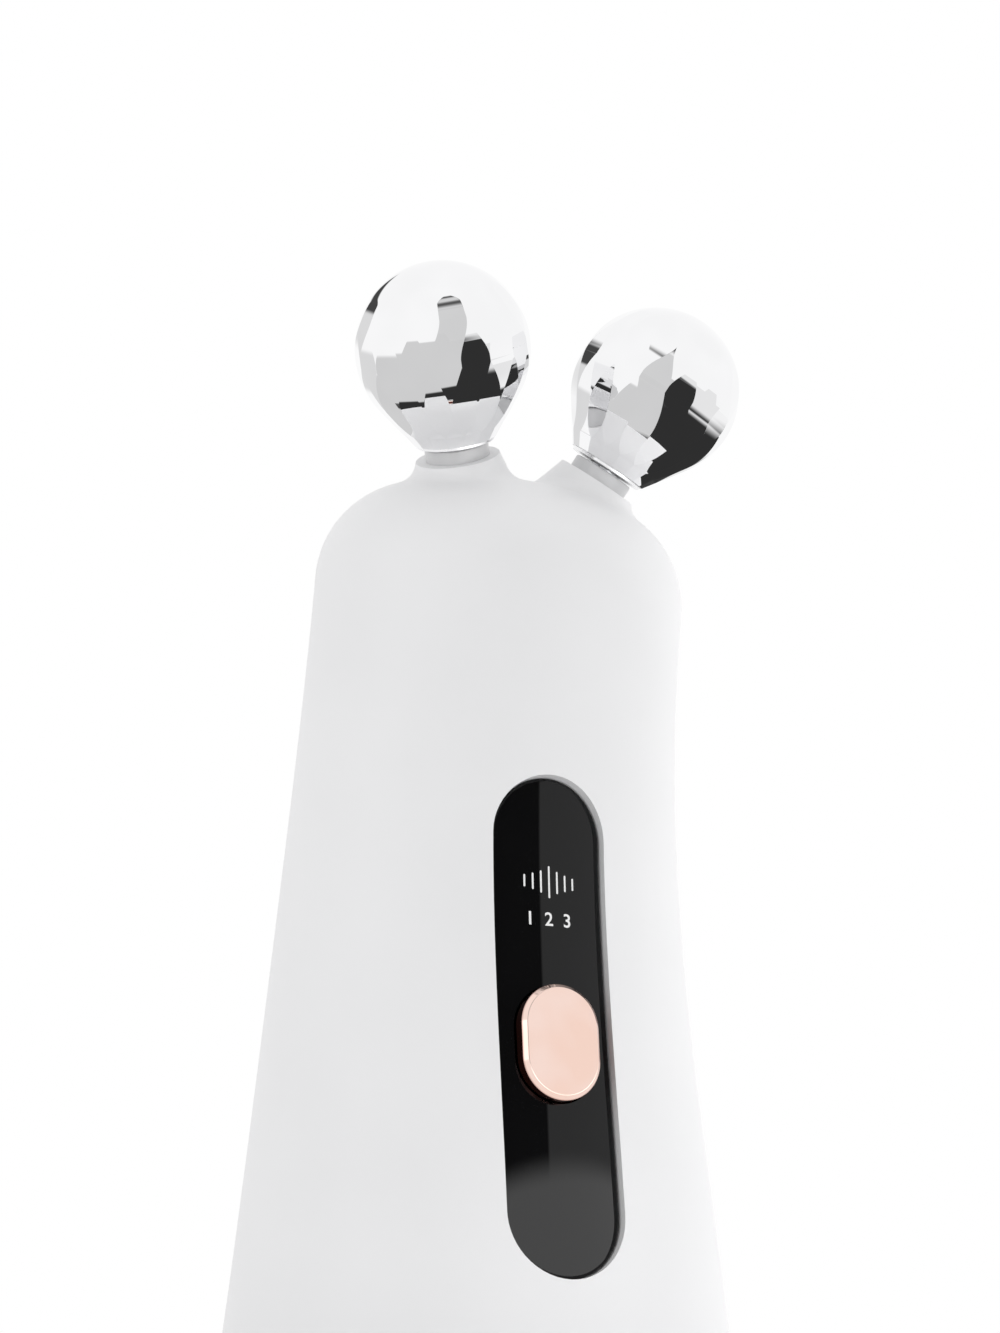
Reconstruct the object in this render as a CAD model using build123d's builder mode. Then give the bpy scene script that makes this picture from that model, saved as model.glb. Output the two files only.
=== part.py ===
from build123d import *
import os
from math import cos, degrees, pi, radians, sin, sqrt, tan

os.makedirs("parts", exist_ok=True)

# Facial toning device: a handheld body that stands on its base and leans forward at the head, where two
# faceted chrome balls spin on splayed axles. Origin: centre of the foot pad's underside, +Z up, front to -Y.

# Body form: elliptical sections on a spine that rises upright and then bends forward
station_shares = (0, 0.33, 0.62, 0.82, 1)
half_widths = (31.5, 28.3, 26.1, 25.1, 24.7)
half_depths = (26.1, 23.7, 20.7, 19.3, 19.2)
upright_length = 37.3
spine_length = 93.0
lean = 11.2
crown_height = 19.9
crown_radius = 50.0
shoulder_radius = 13.2
wall = 2.6

# Seam between the two shells, behind the spine, with a lip inside it
split_behind_spine = 9.5
seam_gap = 0.1
lip_depth = 1.6
lip_clearance = 0.1

# Clearances
static_fit = 0.02
running_fit = 0.03
moving_gap = 0.3

# Rollers
roller_radius = 11.0
roller_spacing = 30.0
roller_height = 122.8
roller_forward = 22.1
roller_splay = 21.6
roller_tilt = 33.2
facet_count = 18
facet_rows = (
    ((47, 0), (34, 1), (3, 0)),
    ((29, 0), (0, 1), (-33, 0)),
    ((-2, 0), (-20, 0.73), (-35, 1), (-57, 0)),
    ((-37, 0), (-64, 1)),
)
facet_turns = {-1: 2.5, 1: 10.5}
tail_latitude = -35
tail_share = 1.04
ball_base_thickness = 0.45
ball_base_margin = 0.35
neck_gap = 0.3
neck_radius = 4.1
neck_show = 1.7
axle_radius = 2.0
bush_wall = 1.2
bush_length = 7.4
clip_thickness = 0.6
clip_radius = 2.9
clip_gap = 0.3
groove_depth = 0.5
axle_tip = 0.7

# Neck bosses and what they clamp
boss_radius = 5.4
boss_flare = 18
boss_depth = 6.0
boss_blend = 2.8
boss_land = 2.9
seal_thickness = 0.8
seal_wall = 1.4
flange_radius = 6.2
flange_thickness = 1.2
flange_pocket_length = 7.0
sleeve_wall = 2.6
sleeve_length = 8.2
axle_flange_radius = 3.4
axle_flange_thickness = 1.0
contact_thickness = 0.5
nut_radius = 3.2
nut_length = 2.0
axle_tail = 0.6

# Roller bracket
web_thickness = 3.0
ear_offset = 14.8
ear_drop = 24.0
ear_radius = 3.2
post_radius = 2.6
screw_radius = 1.0
screw_head_radius = 1.9
screw_head_height = 1.2
screw_bite = 6.0
pilot_extra = 1.0

# Control panel, on a plane that follows the leaning front
panel_reach = 22.6
panel_height = 40.3
panel_tilt = 5.1
panel_width = 14.44
panel_length = 58.34
panel_gap = 0.08
panel_recess = 1.05
panel_thickness = 0.6
gasket_thickness = 0.2
gasket_border = 1.6

# Mode key and its switch
key_drop = 2.9
key_width = 9.8
key_length = 13.5
key_proud = 1.95
key_bevel = 0.5
key_clearance = 0.15
key_flange_depth = 3.6
key_flange_thickness = 1.0
key_flange_width = 1.2
key_stem_radius = 1.3
key_travel = 0.35
plunger_radius = 1.7
plunger_length = 1.0
switch_size = 6.2
switch_height = 3.2
switch_well = 0.6

# Main board and what it carries
board_depth = 9.2
board_thickness = 1.2
board_width = 24.0
board_length = 60.0
board_corner = 2.0
board_post_x = 9.6
board_post_y = 26.5
led_count = 3
led_pitch = 3.0
led_size = 1.6
led_height = 0.7
guide_up = 16.4
guide_width = 10.0
guide_height = 5.0
guide_clearance = 0.15
coil_radius = 4.5
coil_height = 5.0
coil_up = 14.0
chip_height = 1.1
lead_socket = (6.5, 21.5)
lead_socket_size = (5.0, 4.0)
charge_pad_up = -23.0
electrode_pad_up = 27.0

# Battery in its tray, upright behind the board
cell_width = 33.0
cell_length = 48.0
cell_thickness = 8.6
cell_front = -3.2
cell_bottom = 22.0
cell_corner = 1.2
pad_thickness = 0.5
tray_wall = 1.2
tray_rim = 5.0
tray_clearance = 0.25
rib_thickness = 1.6
rib_inset = 9.0

# End cap, foot and charging inlet
cap_height = 4.5
cap_round = 2.0
foot_proud = 0.6
foot_thickness = 1.4
foot_margin = 2.8
cap_floor_top = 3.4
tongue_height = 2.5
tongue_wall = 1.2
tongue_clearance = 0.12
column_radius = 3.2
column_top = 14.0
front_column = (23.4, -9.0)
rear_column = (16.4, 16.2)
cap_head_radius = 2.2
cap_head_height = 1.2
inlet_height = 14.1
inlet_width = 8.94
inlet_thickness = 3.2
inlet_length = 7.3
inlet_shell = 0.32
inlet_set_in = 0.7
inlet_clearance = 0.3
tongue_blade = (6.6, 0.7, 4.8)
charge_board_thickness = 1.0
charge_board_width = 16.0
charge_board_length = 15.0
charge_post_radius = 2.0
charge_post_x = 5.5
lead_radius = 0.5
lead_bend = 1.5
lead_rise = 4.5
lead_spread = 3.0

lean_radius = (spine_length - upright_length) / radians(lean)

with BuildLine(Plane.YZ) as spine:
    upright = Line((0, 0), (0, upright_length))
    JernArc(start=upright @ 1, tangent=upright % 1, radius=lean_radius, arc_size=lean)
spine_path = spine.wire()


def station_plane(share):
    """Plane square to the spine at a share of its length, with the head leaning towards -Y."""
    return Plane(origin=spine_path @ share, x_dir=(1, 0, 0), z_dir=spine_path % share)


def crown(inset):
    """Top of the head: a shallow arc with a round shoulder, turned and then narrowed front to back."""
    half_width = half_widths[-1] - inset
    half_depth = half_depths[-1] - inset
    arc_radius = crown_radius - inset
    apex = crown_height - inset
    edge_height = apex - arc_radius + sqrt(arc_radius**2 - half_width**2)
    with BuildPart() as made:
        with BuildSketch(Plane.YZ) as profile:
            with BuildLine():
                Polyline((0, apex), (0, 0), (half_width, 0), (half_width, edge_height))
                RadiusArc((half_width, edge_height), (0, apex), -arc_radius)
            make_face()
            corner = profile.vertices().sort_by(Axis.X)[-2:].sort_by(Axis.Y)[-1]
            fillet(corner, shoulder_radius - inset)
        revolve(axis=Axis.Z)
        scale(by=(1, half_depth / half_width, 1))
    return made.part


def form(inset):
    """The whole body form, drawn in by inset on every side but the bottom."""
    head = crown(inset).moved(station_plane(1).location)
    with BuildPart() as made:
        for share, half_width, half_depth in zip(station_shares, half_widths, half_depths):
            with BuildSketch(station_plane(share)):
                Ellipse(half_width - inset, half_depth - inset)
        loft()
        add(head)
    return made.part


def behind_split(shift):
    """All space behind a wall that follows the spine at the seam, moved back by shift."""
    start = split_behind_spine + shift
    far = 3 * half_depths[0]
    with BuildPart() as made:
        with BuildSketch(Plane.YZ):
            with BuildLine():
                lower = Line((start, -cap_height), (start, upright_length))
                bend = JernArc(
                    start=lower @ 1,
                    tangent=lower % 1,
                    radius=lean_radius + start,
                    arc_size=lean,
                )
                upper = Line(bend @ 1, bend @ 1 + (bend % 1) * 2 * crown_height)
                Polyline(upper @ 1, (far, (upper @ 1).Z), (far, -cap_height), lower @ 0)
            make_face()
        extrude(amount=2 * half_widths[0], both=True)
    return made.part


# The plane of each neck: origin at the ball's centre, Z outwards along the axle
def neck_plane(side):
    axle_direction = Vector(
        side * sin(radians(roller_splay)),
        -cos(radians(roller_splay)) * sin(radians(roller_tilt)),
        cos(radians(roller_splay)) * cos(radians(roller_tilt)),
    )
    return Plane(
        origin=(side * roller_spacing / 2, -roller_forward, roller_height),
        x_dir=Vector(0, 0, 1).cross(axle_direction) * side,
        z_dir=axle_direction,
    )


# Distances down the axle from the ball's centre
tail_drop = tail_share * roller_radius
ball_base_drop = tail_drop + ball_base_thickness
neck_top_drop = ball_base_drop + neck_gap
rim_drop = neck_top_drop + neck_show
seal_drop = rim_drop + boss_land
flange_drop = seal_drop + seal_thickness
sleeve_drop = flange_drop + flange_thickness
sleeve_end_drop = sleeve_drop + sleeve_length
nut_drop = sleeve_end_drop + contact_thickness
axle_end_drop = nut_drop + nut_length + axle_tail
bush_top_drop = tail_drop - bush_length
clip_drop = bush_top_drop - clip_gap - clip_thickness
axle_top_drop = clip_drop - axle_tip
bore_top_drop = axle_top_drop - clip_gap
bush_radius = axle_radius + running_fit + bush_wall
sleeve_radius = axle_radius + sleeve_wall

panel_plane = Plane(
    origin=(0, -panel_reach, panel_height),
    x_dir=(1, 0, 0),
    z_dir=(0, -cos(radians(panel_tilt)), sin(radians(panel_tilt))),
)
panel_back = panel_recess + panel_thickness
pocket_inset = panel_back + gasket_thickness

# Plane that holds both axles, with Y up the middle between them
axle_plane = Plane(
    origin=(0, -roller_forward, roller_height),
    x_dir=(1, 0, 0),
    z_dir=(0, -cos(radians(roller_tilt)), -sin(radians(roller_tilt))),
)

outer_form = form(0)
inner_form = form(wall)
middle_form = form(wall / 2)
lip_form = form(wall / 2 + lip_clearance)
panel_face_form = form(panel_recess)
panel_back_form = form(panel_back)
pocket_form = form(pocket_inset)


def save(part, name):
    part.label = name
    export_step(part, f"parts/{name}.step")


def slab(low, high, size=4 * half_widths[0]):
    """Everything between two heights."""
    with BuildPart() as made:
        with BuildSketch(Plane.XY.offset(low)):
            Rectangle(size, size)
        extrude(amount=high - low)
    return made.part


def slot_prism(width, length, up=0.0, reach=6.0):
    """Upright slot in the panel plane, run through the front wall and out in front of it."""
    with BuildPart() as made:
        with BuildSketch(panel_plane.offset(-board_depth)):
            with Locations((0, up)):
                SlotOverall(length, width, rotation=90)
        extrude(amount=board_depth + reach)
    return made.part


# Where screws stand: bracket ears, board corners and end-cap columns
ear_points = [(-ear_offset, -ear_drop), (ear_offset, -ear_drop)]
board_points = [(x, y) for x in (-board_post_x, board_post_x) for y in (-board_post_y, board_post_y)]
front_columns = [(side * front_column[0], front_column[1]) for side in (-1, 1)]
rear_columns = [(side * rear_column[0], rear_column[1]) for side in (-1, 1)]
pilot_radius = screw_radius + static_fit

shell_blank = slab(cap_height, 2 * roller_height)

# Front housing: outer form with the two neck bosses blended into it
with BuildPart() as dressed:
    add(outer_form)
    for side in (-1, 1):
        with BuildSketch(neck_plane(side).offset(-rim_drop)):
            Circle(boss_radius)
        extrude(amount=-boss_depth, taper=-boss_flare)
    boss_feet = [
        edge
        for face in dressed.faces().filter_by(GeomType.CONE)
        for edge in face.edges()
        if edge.geom_type not in (GeomType.LINE, GeomType.CIRCLE)
    ]
    fillet(boss_feet, boss_blend)

with BuildPart() as posts:
    with BuildSketch(axle_plane.offset(web_thickness / 2)):
        with Locations(ear_points):
            Circle(post_radius)
    extrude(amount=half_depths[0])
    with BuildSketch(panel_plane.offset(-board_depth)):
        with Locations(board_points):
            Circle(post_radius)
    extrude(amount=board_depth)
    with BuildSketch(Plane.XY.offset(cap_floor_top)):
        with Locations(front_columns):
            Circle(column_radius)
    extrude(amount=column_top - cap_floor_top)
    add(middle_form, mode=Mode.INTERSECT)

with BuildPart() as panel_recess_cut:
    add(slot_prism(panel_width + 2 * panel_gap, panel_length + 2 * panel_gap))
    add(pocket_form, mode=Mode.SUBTRACT)

with BuildPart() as lip_groove:
    add(behind_split(-lip_depth - lip_clearance))
    add(middle_form, mode=Mode.INTERSECT)

with BuildPart() as front_housing:
    add(dressed.part)
    add(inner_form, mode=Mode.SUBTRACT)
    add(shell_blank, mode=Mode.INTERSECT)
    add(behind_split(-seam_gap / 2), mode=Mode.SUBTRACT)
    add(panel_recess_cut.part, mode=Mode.SUBTRACT)
    add(lip_groove.part, mode=Mode.SUBTRACT)
    add(posts.part)
    for side in (-1, 1):
        # Hole that the neck stands in, and behind it the pocket that clamps its flange
        with BuildSketch(neck_plane(side).offset(-rim_drop)):
            Circle(neck_radius + static_fit)
        extrude(amount=-boss_land, mode=Mode.SUBTRACT)
        with BuildSketch(neck_plane(side).offset(-seal_drop)):
            Circle(flange_radius + lip_clearance)
        extrude(amount=-flange_pocket_length, mode=Mode.SUBTRACT)
    # Holes through the recess floor for the key and for the light guide
    key_hole_gap = 4 * key_clearance
    key_hole = slot_prism(key_width + key_hole_gap, key_length + key_hole_gap, -key_drop)
    add(key_hole, mode=Mode.SUBTRACT)
    with BuildSketch(panel_plane.offset(-board_depth)):
        with Locations((0, guide_up)):
            Rectangle(guide_width + 2 * guide_clearance, guide_height + 2 * guide_clearance)
    extrude(amount=2 * board_depth, mode=Mode.SUBTRACT)
    # Pilot holes for the screws
    with BuildSketch(axle_plane.offset(web_thickness / 2)):
        with Locations(ear_points):
            Circle(pilot_radius)
    extrude(amount=screw_bite + pilot_extra, mode=Mode.SUBTRACT)
    with BuildSketch(panel_plane.offset(-board_depth)):
        with Locations(board_points):
            Circle(pilot_radius)
    extrude(amount=screw_bite, mode=Mode.SUBTRACT)
    with BuildSketch(Plane.XY.offset(cap_floor_top)):
        with Locations(front_columns):
            Circle(pilot_radius)
    extrude(amount=screw_bite + pilot_extra, mode=Mode.SUBTRACT)
save(front_housing.part, "front_housing")


def half_depth_at(height):
    """Half the body's depth at a height, between the stations."""
    heights = [share * spine_length for share in station_shares]
    for low, high, near, far in zip(heights, heights[1:], half_depths, half_depths[1:]):
        if height <= high:
            return near + (far - near) * (height - low) / (high - low)
    return half_depths[-1]


# Rear cover: the shell behind the seam, with a lip, ribs for the battery tray and screw columns
tray_back = cell_front + cell_thickness + pad_thickness + tray_wall
rib_heights = (cell_bottom + rib_inset, cell_bottom + cell_length - rib_inset)
inlet_mouth = half_depth_at(inlet_height) - inlet_set_in
inlet_plane = Plane(origin=(0, inlet_mouth, inlet_height), x_dir=(1, 0, 0), z_dir=(0, 1, 0))

with BuildPart() as rear_fittings:
    for height in rib_heights:
        with BuildSketch(Plane.XY.offset(height - rib_thickness / 2)):
            with Locations((0, tray_back + half_depths[0] / 2)):
                Rectangle(cell_width, half_depths[0])
        extrude(amount=rib_thickness)
    with BuildSketch(Plane.XY.offset(cap_floor_top)):
        with Locations(rear_columns):
            Circle(column_radius)
    extrude(amount=column_top - cap_floor_top)
    add(middle_form, mode=Mode.INTERSECT)

with BuildPart() as cover_lip:
    add(lip_form)
    add(inner_form, mode=Mode.SUBTRACT)
    add(behind_split(-lip_depth), mode=Mode.INTERSECT)
    add(shell_blank, mode=Mode.INTERSECT)

with BuildPart() as rear_cover:
    add(outer_form)
    add(inner_form, mode=Mode.SUBTRACT)
    add(behind_split(seam_gap / 2), mode=Mode.INTERSECT)
    add(shell_blank, mode=Mode.INTERSECT)
    add(cover_lip.part)
    add(rear_fittings.part)
    with BuildSketch(inlet_plane.offset(-inlet_length)):
        SlotOverall(inlet_width + 2 * inlet_clearance, inlet_thickness + 2 * inlet_clearance)
    extrude(amount=2 * inlet_length, mode=Mode.SUBTRACT)
    with BuildSketch(Plane.XY.offset(cap_floor_top)):
        with Locations(rear_columns):
            Circle(pilot_radius)
    extrude(amount=screw_bite + pilot_extra, mode=Mode.SUBTRACT)
save(rear_cover.part, "rear_cover")

# End cap: closes the bottom, with a tongue inside the shells, board posts and screw counterbores
charge_board_top = inlet_height - inlet_thickness / 2
board_corner_share = charge_board_width / 2 / (half_widths[1] - wall)
charge_board_rear = (half_depth_at(inlet_height) - wall) * sqrt(1 - board_corner_share**2) - moving_gap
charge_post_y = [charge_board_rear - charge_board_length * share for share in (0.2, 0.8)]
charge_posts = [(x, y) for x in (-charge_post_x, charge_post_x) for y in charge_post_y]
head_seat = foot_thickness + cap_head_height

with BuildPart() as cap_tongue:
    add(form(wall + tongue_clearance))
    add(form(wall + tongue_clearance + tongue_wall), mode=Mode.SUBTRACT)
    add(slab(cap_floor_top, cap_height + tongue_height), mode=Mode.INTERSECT)

with BuildPart() as base_cap:
    add(outer_form)
    add(slab(foot_proud, cap_height), mode=Mode.INTERSECT)
    fillet(base_cap.edges().group_by(Axis.Z)[0], cap_round)
    with BuildSketch(Plane.XY.offset(cap_floor_top)):
        Ellipse(half_widths[0] - wall - tongue_wall, half_depths[0] - wall - tongue_wall)
    extrude(amount=cap_height, mode=Mode.SUBTRACT)
    add(cap_tongue.part)
    with BuildSketch(Plane.XY.offset(cap_floor_top)):
        with Locations(front_columns + rear_columns):
            Circle(column_radius + moving_gap)
    extrude(amount=column_top, mode=Mode.SUBTRACT)
    with BuildSketch(Plane.XY.offset(cap_floor_top)):
        with Locations(charge_posts):
            Circle(charge_post_radius)
    extrude(amount=charge_board_top - charge_board_thickness - cap_floor_top)
    with BuildSketch(Plane.XY.offset(foot_proud)):
        Ellipse(half_widths[0] - foot_margin, half_depths[0] - foot_margin)
    extrude(amount=foot_thickness - foot_proud, mode=Mode.SUBTRACT)
    with BuildSketch(Plane.XY.offset(foot_thickness)):
        with Locations(front_columns + rear_columns):
            Circle(cap_head_radius + lip_clearance)
    extrude(amount=cap_head_height, mode=Mode.SUBTRACT)
    with BuildSketch(Plane.XY):
        with Locations(front_columns + rear_columns):
            Circle(pilot_radius)
    extrude(amount=cap_height, mode=Mode.SUBTRACT)
save(base_cap.part, "base_cap")

with BuildPart() as foot_pad:
    with BuildSketch():
        Ellipse(half_widths[0] - foot_margin - static_fit, half_depths[0] - foot_margin - static_fit)
    extrude(amount=foot_thickness)
    chamfer(foot_pad.edges().group_by(Axis.Z)[0], foot_proud / 2)
save(foot_pad.part, "foot_pad")

# Window, its adhesive frame and the key that stands through both
with BuildPart() as control_panel:
    add(slot_prism(panel_width, panel_length))
    add(panel_face_form, mode=Mode.INTERSECT)
    add(panel_back_form, mode=Mode.SUBTRACT)
    key_gap = 2 * key_clearance
    add(slot_prism(key_width + key_gap, key_length + key_gap, -key_drop), mode=Mode.SUBTRACT)
save(control_panel.part, "control_panel")

with BuildPart() as panel_gasket:
    add(slot_prism(panel_width, panel_length))
    add(panel_back_form, mode=Mode.INTERSECT)
    add(pocket_form, mode=Mode.SUBTRACT)
    add(slot_prism(panel_width - 2 * gasket_border, panel_length - 2 * gasket_border), mode=Mode.SUBTRACT)
save(panel_gasket.part, "panel_gasket")

key_top = key_proud - panel_recess
plunger_top = switch_height + plunger_length - board_depth
with BuildPart() as mode_button:
    with BuildSketch(panel_plane.offset(key_top)):
        with Locations((0, -key_drop)):
            SlotOverall(key_length, key_width, rotation=90)
    extrude(amount=-key_top - key_flange_depth)
    chamfer(mode_button.edges().sort_by(Axis(panel_plane.origin, panel_plane.z_dir))[-4:], key_bevel)
    with BuildSketch(panel_plane.offset(-key_flange_depth)):
        with Locations((0, -key_drop)):
            SlotOverall(key_length + 2 * key_flange_width, key_width + 2 * key_flange_width, rotation=90)
    extrude(amount=-key_flange_thickness)
    with BuildSketch(panel_plane.offset(plunger_top)):
        with Locations((0, -key_drop)):
            Circle(key_stem_radius)
    extrude(amount=-plunger_top - key_flange_depth)
save(mode_button.part, "mode_button")

switch_top = switch_height - board_depth
plunger_bottom = switch_top - lip_clearance
with BuildPart() as switch_plunger:
    with BuildSketch(panel_plane.offset(plunger_bottom)):
        with Locations((0, -key_drop)):
            Circle(plunger_radius)
    extrude(amount=plunger_top - plunger_bottom)
save(switch_plunger.part, "switch_plunger")

with BuildPart() as tact_switch:
    with BuildSketch(panel_plane.offset(-board_depth)):
        with Locations((0, -key_drop)):
            RectangleRounded(switch_size, switch_size, switch_size / 12)
    extrude(amount=switch_height)
    with BuildSketch(panel_plane.offset(switch_top)):
        with Locations((0, -key_drop)):
            Circle(plunger_radius + lip_clearance)
    extrude(amount=-switch_well, mode=Mode.SUBTRACT)
save(tact_switch.part, "tact_switch")

# Main board on its posts, with what it carries on both faces
board_back = Plane(
    origin=panel_plane.offset(-board_depth - board_thickness).origin,
    x_dir=(-1, 0, 0),
    z_dir=-panel_plane.z_dir,
)
with BuildPart() as main_board:
    with BuildSketch(panel_plane.offset(-board_depth)):
        RectangleRounded(board_width, board_length, board_corner)
        with Locations(board_points):
            Circle(pilot_radius, mode=Mode.SUBTRACT)
    extrude(amount=-board_thickness)
save(main_board.part, "main_board")


def screws(plane, points, shank_length, head_radius=screw_head_radius, head_height=screw_head_height):
    """Pan-head screws whose heads stand on the plane and whose shanks run down from it."""
    with BuildPart() as made:
        with BuildSketch(plane):
            with Locations(points):
                Circle(head_radius)
        extrude(amount=head_height)
        head_tops = made.faces().sort_by(Axis(plane.origin, plane.z_dir))[-len(points):]
        chamfer(head_tops.edges(), head_height / 4)
        with BuildSketch(plane):
            with Locations(points):
                Circle(screw_radius)
        extrude(amount=-shank_length)
    return made.part


save(screws(board_back, board_points, board_thickness + screw_bite - pilot_extra), "board_screws")

led_xs = [(index - (led_count - 1) / 2) * led_pitch for index in range(led_count)]
with BuildPart() as indicator_leds:
    with BuildSketch(panel_plane.offset(-board_depth)):
        with Locations([(x, guide_up) for x in led_xs]):
            Rectangle(led_size, led_size)
    extrude(amount=led_height)
save(indicator_leds.part, "indicator_leds")

with BuildPart() as light_guide:
    with BuildSketch(panel_plane.offset(-board_depth)):
        with Locations((0, guide_up)):
            Rectangle(guide_width, guide_height)
    extrude(amount=2 * board_depth)
    add(form(panel_back + static_fit), mode=Mode.INTERSECT)
    with BuildSketch(panel_plane.offset(-board_depth)):
        with Locations((0, guide_up)):
            Rectangle(led_count * led_pitch, led_size + 2 * guide_clearance)
    extrude(amount=led_height + guide_clearance, mode=Mode.SUBTRACT)
save(light_guide.part, "light_guide")

with BuildPart() as boost_coil:
    with BuildSketch(board_back):
        with Locations((0, coil_up)):
            Circle(coil_radius)
    extrude(amount=coil_height)
    with BuildSketch(board_back.offset(coil_height / 4)):
        with Locations((0, coil_up)):
            Circle(coil_radius)
            Circle(coil_radius * 0.8, mode=Mode.SUBTRACT)
    extrude(amount=coil_height / 2, mode=Mode.SUBTRACT)
save(boost_coil.part, "boost_coil")

chips = {(-6.0, -4.0): (7.0, 7.0), (6.0, -8.0): (5.0, 4.0), (0.0, -16.0): (4.0, 4.0)}
sockets = {(side * lead_socket[0], lead_socket[1]): lead_socket_size for side in (-1, 1)}
with BuildPart() as board_components:
    for items, height in ((chips, chip_height), (sockets, 2 * chip_height)):
        with BuildSketch(board_back):
            for place, (width, length) in items.items():
                with Locations(place):
                    Rectangle(width, length)
        extrude(amount=height)
save(board_components.part, "board_components")

# Battery cell on its pad in a shallow tray that stands against the rear cover's ribs
cell_middle = cell_bottom + cell_length / 2


def upright_plane(y):
    """Plane that faces the front, level with the middle of the cell."""
    return Plane(origin=(0, y, cell_middle), x_dir=(1, 0, 0), z_dir=(0, -1, 0))


with BuildPart() as battery_cell:
    with BuildSketch(upright_plane(cell_front + cell_thickness)):
        Rectangle(cell_width, cell_length)
    extrude(amount=cell_thickness)
    fillet(battery_cell.edges().filter_by(Axis.Z), cell_corner)
save(battery_cell.part, "battery_cell")

with BuildPart() as battery_pad:
    with BuildSketch(upright_plane(cell_front + cell_thickness + pad_thickness)):
        Rectangle(cell_width - 4 * cell_corner, cell_length - 4 * cell_corner)
    extrude(amount=pad_thickness)
save(battery_pad.part, "battery_pad")

tray_width = cell_width + 2 * (tray_clearance + tray_wall)
tray_length = cell_length + 2 * (tray_clearance + tray_wall)
with BuildPart() as battery_tray:
    with BuildSketch(upright_plane(tray_back)):
        RectangleRounded(tray_width, tray_length, tray_wall)
    extrude(amount=tray_rim)
    with BuildSketch(upright_plane(tray_back - tray_wall)):
        Rectangle(tray_width - 2 * tray_wall, tray_length - 2 * tray_wall)
    extrude(amount=tray_rim, mode=Mode.SUBTRACT)
save(battery_tray.part, "battery_tray")

# Charging inlet on its own small board
with BuildPart() as charge_board:
    with BuildSketch(Plane.XY.offset(charge_board_top)):
        with Locations((0, charge_board_rear - charge_board_length / 2)):
            Rectangle(charge_board_width, charge_board_length)
    extrude(amount=-charge_board_thickness)
save(charge_board.part, "charge_board")

blade_width, blade_thickness, blade_length = tongue_blade
with BuildPart() as usb_socket:
    with BuildSketch(inlet_plane):
        SlotOverall(inlet_width, inlet_thickness)
    extrude(amount=-inlet_length)
    with BuildSketch(inlet_plane):
        SlotOverall(inlet_width - 2 * inlet_shell, inlet_thickness - 2 * inlet_shell)
    extrude(amount=inlet_shell * 3 - inlet_length, mode=Mode.SUBTRACT)
    with BuildSketch(inlet_plane.offset(inlet_shell * 3 - inlet_length)):
        Rectangle(blade_width, blade_thickness)
    extrude(amount=blade_length)
save(usb_socket.part, "usb_socket")

cap_head_plane = Plane(origin=(0, 0, head_seat), x_dir=(1, 0, 0), z_dir=(0, 0, -1))
cap_points = [(x, -y) for x, y in front_columns + rear_columns]
cap_shank = cap_floor_top - head_seat + screw_bite
save(screws(cap_head_plane, cap_points, cap_shank, cap_head_radius, cap_head_height), "cap_screws")

# Roller bracket: a bar across the head with a sleeve for each axle
with BuildPart() as roller_bracket:
    with BuildSketch(axle_plane.offset(-web_thickness / 2)):
        with Locations((0, -ear_drop)):
            SlotCenterToCenter(2 * ear_offset, 2 * ear_radius)
    extrude(amount=web_thickness)
    for side in (-1, 1):
        with BuildSketch(neck_plane(side).offset(-sleeve_drop)):
            Circle(sleeve_radius)
        extrude(amount=-sleeve_length)
    for side in (-1, 1):
        with BuildSketch(neck_plane(side).offset(-sleeve_drop)):
            Circle(axle_radius + static_fit)
        extrude(amount=-2 * sleeve_length, mode=Mode.SUBTRACT)
        with BuildSketch(neck_plane(side).offset(-sleeve_drop)):
            Circle(axle_flange_radius + static_fit)
        extrude(amount=-axle_flange_thickness, mode=Mode.SUBTRACT)
        with BuildSketch(neck_plane(side).offset(-sleeve_end_drop)):
            Circle(2 * sleeve_radius)
        extrude(amount=-sleeve_length, mode=Mode.SUBTRACT)
    with BuildSketch(axle_plane.offset(-web_thickness)):
        with Locations(ear_points):
            Circle(pilot_radius)
    extrude(amount=2 * web_thickness, mode=Mode.SUBTRACT)
save(roller_bracket.part, "roller_bracket")

bracket_back = Plane(
    origin=axle_plane.offset(-web_thickness / 2).origin,
    x_dir=(-1, 0, 0),
    z_dir=-axle_plane.z_dir,
)
save(screws(bracket_back, ear_points, web_thickness + screw_bite), "bracket_screws")


# Ball outline in its own frame: centre at the origin, smooth cap up, conical tail down
def on_ball(latitude):
    return Vector(roller_radius * cos(radians(latitude)), roller_radius * sin(radians(latitude)))


tail_start = on_ball(tail_latitude)
tail_slope = tan(radians(-tail_latitude))
tail_radius = tail_start.X - (tail_drop + tail_start.Y) * tail_slope
facet_half_angle = pi / facet_count


def facet_middle(latitude, width):
    """Point in the middle of a facet whose borders lie on the outline, at a share of its full width."""
    outline = on_ball(latitude)
    if latitude < tail_latitude:
        rise = tan(radians(latitude))
        reach = (tail_start.X - tail_start.Y * tail_slope) / (1 - rise * tail_slope)
        outline = Vector(reach, reach * rise)
    return Vector(outline.X * cos(facet_half_angle * width), outline.Y)


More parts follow.
